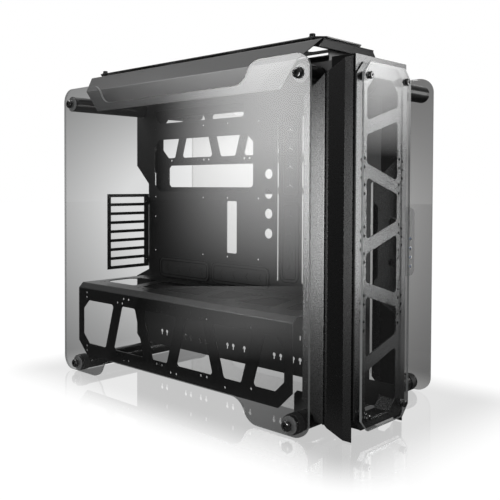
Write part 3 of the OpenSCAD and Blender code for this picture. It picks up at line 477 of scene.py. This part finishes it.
def inset(rectangle, margin):
    y0, y1, z0, z1 = rectangle
    return (y0 + margin, y1 - margin, z0 + margin, z1 - margin)


# Depths are measured from the face of a grommet's rim, and margins from its outline.
FLAP_FRONT, FLAP_BACK = 1.9 * MM, 2.1 * MM
FLAP_MARGIN = 7.5 * MM
FLAP_R = 5 * MM
SEAM_PROUD, SEAM_DEEP = 0.25 * MM, 0.3 * MM
SEAM_W = 1.3 * MM
SEAMS = ((0.2 * MM, 13.8 * MM), (6.4 * MM, 7.6 * MM))  # (margin, corner radius)
CLOSED_GROMMETS = ("grommet_lower", "grommet_deck_rear", "grommet_deck_front")
GROMMETS = ("grommet_upper", *CLOSED_GROMMETS)


def grommet_face(name):
    """The X of a grommet's front face, and its outline as (y0, y1, z0, z1)."""
    low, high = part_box(name)
    return low[0], (low[1], high[1], low[2], high[2])


def grommet_flaps(made):
    """The webs' flaps overlap behind the slits of these grommets."""
    for name in CLOSED_GROMMETS:
        x, outline = grommet_face(name)
        rounded_plate(made, x + FLAP_FRONT, x + FLAP_BACK, inset(outline, FLAP_MARGIN), FLAP_R)


def grommet_seams(made):
    """Thin lips round each grommet's rim and round its web, coated near black: painted shade of the grooves
    there.
    """
    for name in GROMMETS:
        x, outline = grommet_face(name)
        for margin, radius in SEAMS:
            rounded_band(made, x - SEAM_PROUD, x + SEAM_DEEP, inset(outline, margin), radius, SEAM_W)


knurled = add_piece("thumb_screws_knurled", thumb_screws, "case", "small_screw")
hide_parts("top_thumb_screws")
added_pieces = [
    knurled,
    add_piece("grommet_flaps", grommet_flaps, "case", "rubber"),
    add_piece("grommet_seams", grommet_seams, "case", "seam"),
]

# ---------------------------------------------------------------- floor

BRIGHTEST_THROUGH_GLASS = 0.84
DIMMEST_THROUGH_GLASS = 0.1
POOL_APEX = (-1.12, -0.97, 0)
POOL_AZIMUTH = 43.5
POOL_WIDTH = 0.227
POOL_REACH = 1.77
POOL_LEVEL = 1.02
FLOOR_HALF = 14
FLOOR_DROP = 0.4 * MM
FLOOR_TONE, FLOOR_TONE_IN_GLOSS = 0.85, 0.06
FLOOR_WHITE = 1.08
WHITE_SHARE, WHITE_SHARE_BEHIND_GLASS = 0.93, 0.98
WHITE_IN_GLOSS = 0.03
FOOTPRINT = (0.2, 0.36, 0)
MIRROR_SHARE, MIRROR_REACH, MIRROR_ROUGH = 0.46, 0.16, 0.03


def bell(t, a, b):
    """1 where a and b are 0, and less the further they are from it."""
    square = t.math("ADD", t.math("MULTIPLY", a, a), t.math("MULTIPLY", b, b))
    return t.math("EXPONENT", t.math("MULTIPLY", square, -1.0))


def pool_of_light(t, where):
    """A wedge of light on the floor that widens and brightens with the distance, as seen through glass."""
    away = t.vector("SUBTRACT", where, POOL_APEX)
    heading = math.radians(POOL_AZIMUTH)
    ahead, aside = (math.cos(heading), math.sin(heading), 0), (-math.sin(heading), math.cos(heading), 0)
    depth = t.math("MAXIMUM", t.vector("DOT_PRODUCT", away, ahead, "Value"), 0.05)
    side = t.vector("DOT_PRODUCT", away, aside, "Value")
    across = t.math("DIVIDE", t.math("DIVIDE", side, depth), POOL_WIDTH)
    near = t.math("DIVIDE", POOL_REACH, depth)
    pool = t.math("MULTIPLY_ADD", bell(t, across, near), POOL_LEVEL, DIMMEST_THROUGH_GLASS)
    return t.math("MINIMUM", pool, BRIGHTEST_THROUGH_GLASS)


def floor_gloss():
    """White where it is seen straight on, grey behind glass, and a mirror close to the object."""
    t = Tree("floor_gloss")
    where = t.place()
    outside = t.vector("SUBTRACT", t.vector("ABSOLUTE", where), FOOTPRINT)
    reach = t.vector("LENGTH", t.vector("MAXIMUM", outside, (0, 0, 0)), output="Value")
    fade = t.node("ShaderNodeMapRange", interpolation_type="SMOOTHSTEP")
    t.link(reach, fade.inputs["Value"])
    fade.inputs["From Min"].default_value = 0.0
    fade.inputs["From Max"].default_value = MIRROR_REACH
    fade.inputs["To Min"].default_value = MIRROR_SHARE
    fade.inputs["To Max"].default_value = 0.0
    path = t.node("ShaderNodeLightPath")
    camera, glossy = path.outputs["Is Camera Ray"], path.outputs["Is Glossy Ray"]
    seen = t.math("MAXIMUM", camera, t.math("MULTIPLY", glossy, WHITE_IN_GLOSS))
    seen = t.math("MAXIMUM", seen, path.outputs["Is Transmission Ray"])
    shade = t.node("ShaderNodeMix", data_type="RGBA")
    shade.inputs["A"].default_value = grey(FLOOR_TONE)
    shade.inputs["B"].default_value = grey(FLOOR_TONE_IN_GLOSS)
    t.link(glossy, shade.inputs["Factor"])
    base = t.node("ShaderNodeBsdfDiffuse")
    t.link(shade.outputs["Result"], base.inputs["Color"])
    behind_glass = t.behind_glass(path)
    level = t.node("ShaderNodeMix", data_type="FLOAT")
    t.link(behind_glass, level.inputs["Factor"])
    level.inputs["A"].default_value = FLOOR_WHITE
    t.link(pool_of_light(t, where), level.inputs["B"])
    glow = t.node("ShaderNodeEmission")
    glow.inputs["Color"].default_value = grey(1.0)
    t.link(level.outputs["Result"], glow.inputs["Strength"])
    more = WHITE_SHARE_BEHIND_GLASS - WHITE_SHARE
    share = t.math("MULTIPLY", seen, t.math("MULTIPLY_ADD", behind_glass, more, WHITE_SHARE))
    white = t.mixed(share, base.outputs[0], glow.outputs[0])
    mirror = t.node("ShaderNodeBsdfGlossy")
    mirror.inputs["Roughness"].default_value = MIRROR_ROUGH
    return finish(t, t.mixed(fade.outputs["Result"], white, mirror.outputs[0]))


def make_floor():
    mesh = bpy.data.meshes.new("floor")
    made = bmesh.new()
    bmesh.ops.create_grid(made, x_segments=4, y_segments=4, size=FLOOR_HALF)
    made.to_mesh(mesh)
    made.free()
    mesh.materials.append(floor_gloss())
    obj = bpy.data.objects.new("floor", mesh)
    obj.location = (0, 0, -FLOOR_DROP)
    scene.collection.objects.link(obj)


# ---------------------------------------------------------------- world
# A soft light is (azimuth from +X towards +Y, elevation, the spread of each, strength), in degrees.

SPOT = (43.5, -3, 13, 10, 1.05)
SPOT_SHADE = (25, 11, 10, 8, 0.85)
IN_PHOTO = (45, 0, 42, 60, 1.0)
GREY_OUTSIDE_PHOTO = 0.6
BACKDROP = (45, 10, 40, 40, 0.7)
PANELS = [(100, 55, 30, 25, 0.95), (238, 36, 45, 22, 0.9), (132, 16, 16, 9, 0.4)]
REFLECTED_FLOOR_LEVEL = 0.03
AMBIENT = 0.2


def make_world():
    """White to the camera, a soft grey studio seen through glass, and soft panels in reflections."""
    t = Tree("studio", world=True)
    unit = t.parts(t.vector("NORMALIZE", t.node("ShaderNodeTexCoord").outputs["Generated"]))
    azimuth = t.math("ARCTAN2", unit["Y"], unit["X"])
    elevation = t.math("ARCSINE", unit["Z"])

    def soft_light(center_az, center_el, spread_az, spread_el, strength):
        turn = t.math("WRAP", t.math("SUBTRACT", azimuth, math.radians(center_az)), math.pi, -math.pi)
        across = t.math("DIVIDE", turn, math.radians(spread_az))
        up = t.math("DIVIDE", t.math("SUBTRACT", elevation, math.radians(center_el)), math.radians(spread_el))
        return t.math("MULTIPLY", bell(t, across, up), strength)

    def total(*values):
        result = values[0]
        for value in values[1:]:
            result = t.math("ADD", result, value)
        return result

    path = t.node("ShaderNodeLightPath")
    camera, glossy = path.outputs["Is Camera Ray"], path.outputs["Is Glossy Ray"]
    behind_glass = t.behind_glass(path)
    # seen through glass
    spot = t.math("MULTIPLY", soft_light(*SPOT), t.math("SUBTRACT", 1.0, soft_light(*SPOT_SHADE)))
    spot = t.math("MINIMUM", total(spot, DIMMEST_THROUGH_GLASS), BRIGHTEST_THROUGH_GLASS)
    in_photo = soft_light(*IN_PHOTO)
    outside = t.math("MULTIPLY", t.math("SUBTRACT", 1.0, in_photo), GREY_OUTSIDE_PHOTO)
    grey_view = total(t.math("MULTIPLY", spot, in_photo), outside)
    seen = total(t.math("SUBTRACT", 1.0, behind_glass), t.math("MULTIPLY", behind_glass, grey_view))
    # seen in reflections
    mirrored = total(REFLECTED_FLOOR_LEVEL, soft_light(*BACKDROP), *[soft_light(*p) for p in PANELS])
    # light on matt surfaces
    other = t.math("SUBTRACT", 1.0, t.math("MAXIMUM", camera, glossy))
    strength = total(
        t.math("MULTIPLY", camera, seen),
        t.math("MULTIPLY", glossy, mirrored),
        t.math("MULTIPLY", other, AMBIENT),
    )
    sky = t.node("ShaderNodeBackground")
    sky.inputs["Color"].default_value = grey(1.0)
    t.link(strength, sky.inputs["Strength"])
    out = t.node("ShaderNodeOutputWorld")
    t.link(sky.outputs[0], out.inputs["Surface"])
    scene.world = t.owner
    scene.world.cycles.sampling_method = "NONE"


# ---------------------------------------------------------------- lamps


def lit_group(name, objects):
    """The objects that some of the lamps are linked to."""
    group = bpy.data.collections.new(name)
    for obj in objects:
        group.objects.link(obj)
    return group


def nodes_where(test):
    return [obj for name, obj in nodes.items() if test(name)]


def softbox(name, place, target, width, height, power, turn=0.0):
    light = bpy.data.lights.new(name, "AREA")
    light.shape = "RECTANGLE"
    light.size = width
    light.size_y = height
    light.energy = power
    obj = bpy.data.objects.new(name, light)
    obj.location = place
    aim = (Vector(target) - Vector(place)).to_track_quat("-Z", "Y")
    obj.rotation_euler = (aim @ Quaternion((0, 0, 1), math.radians(turn))).to_euler()
    scene.collection.objects.link(obj)
    return obj


def fade_upwards(light, low, high):
    """A soft panel that is dark at its foot and full at its top, with soft sides."""
    light.use_nodes = True
    tree = light.node_tree
    glow = next(n for n in tree.nodes if n.type == "EMISSION")
    geometry = tree.nodes.new("ShaderNodeNewGeometry")
    parts = tree.nodes.new("ShaderNodeSeparateXYZ")
    tree.links.new(geometry.outputs["Parametric"], parts.inputs[0])
    rise = tree.nodes.new("ShaderNodeMapRange")
    rise.inputs["From Min"].default_value = low
    rise.inputs["From Max"].default_value = high
    tree.links.new(parts.outputs["Y"], rise.inputs["Value"])
    side = tree.nodes.new("ShaderNodeMath")
    side.operation = "PINGPONG"
    side.inputs[1].default_value = 0.5
    tree.links.new(parts.outputs["X"], side.inputs[0])
    spread = tree.nodes.new("ShaderNodeMapRange")
    spread.interpolation_type = "SMOOTHSTEP"
    spread.inputs["From Max"].default_value = 0.5
    tree.links.new(side.outputs[0], spread.inputs["Value"])
    both = tree.nodes.new("ShaderNodeMath")
    both.operation = "MULTIPLY"
    tree.links.new(rise.outputs["Result"], both.inputs[0])
    tree.links.new(spread.outputs["Result"], both.inputs[1])
    tree.links.new(both.outputs[0], glow.inputs["Strength"])


make_floor()
make_world()

METAL = lit_group("metal_lit", nodes_where(lambda n: not n.endswith("_glass")) + added_pieces)
SIDE_GLASS = lit_group("side_glass_lit", [nodes["left_glass"], nodes["right_glass"]])
FRONT_GLASS = lit_group("front_glass_lit", [nodes["front_glass"]])
TUBES = lit_group("tubes_lit", nodes_where(lambda n: n.startswith("tube_") and n != "tube_end_plugs"))

# Each of these shows in the gloss of its group only.
# name: (place, target, width, height, power, turn in degrees), group, fade
GLOSS_LAMPS = {
    "left_low": (((-1.33, -0.10, 0.33), (-0.17, -0.29, 0.33), 0.46, 0.5, 15), METAL, None),
    "left_high": (((-1.04, 0.9, 1.40), (-0.15, 0.0, 0.6), 0.8, 0.5, 13), METAL, None),
    "right_low": (((0.71, -1.03, 0.50), (-0.12, -0.35, 0.40), 0.4, 0.86, 10), METAL, None),
    "left_sheen": (((-1.3, 0.62, 0.62), (-0.2, 0.62, 0.62), 1.4, 1.24, 36), SIDE_GLASS, (0.03, 0.45)),
    "floor_sheen": (((-0.92, 0.45, 0.02), (-0.92, 0.45, 1.0), 0.7, 1.2, 2.4, -45), SIDE_GLASS, (0.0, 0.35)),
    "floor_right": (((0.45, -0.80, 0.02), (0.45, -0.80, 1.0), 0.5, 0.6, 0.6), METAL, None),
    "tube_shine": (((1.2, -0.85, 0.66), (0.2, -0.25, 0.58), 0.5, 0.4, 0.9), TUBES, None),
    "front_sheen": (((1.45, -1.3, 0.95), (1.45, -0.36, 0.95), 1.2, 0.95, 24), FRONT_GLASS, (0.05, 0.7)),
}
for name, (settings, group, fade) in GLOSS_LAMPS.items():
    lamp = softbox(name, *settings)
    lamp.light_linking.receiver_collection = group
    lamp.visible_diffuse = False
    if fade:
        fade_upwards(lamp.data, *fade)
softbox("top", (0, 0.3, 2.2), (0, 0, 0.3), 2.0, 2.0, 12)

scene.view_settings.view_transform = "Standard"
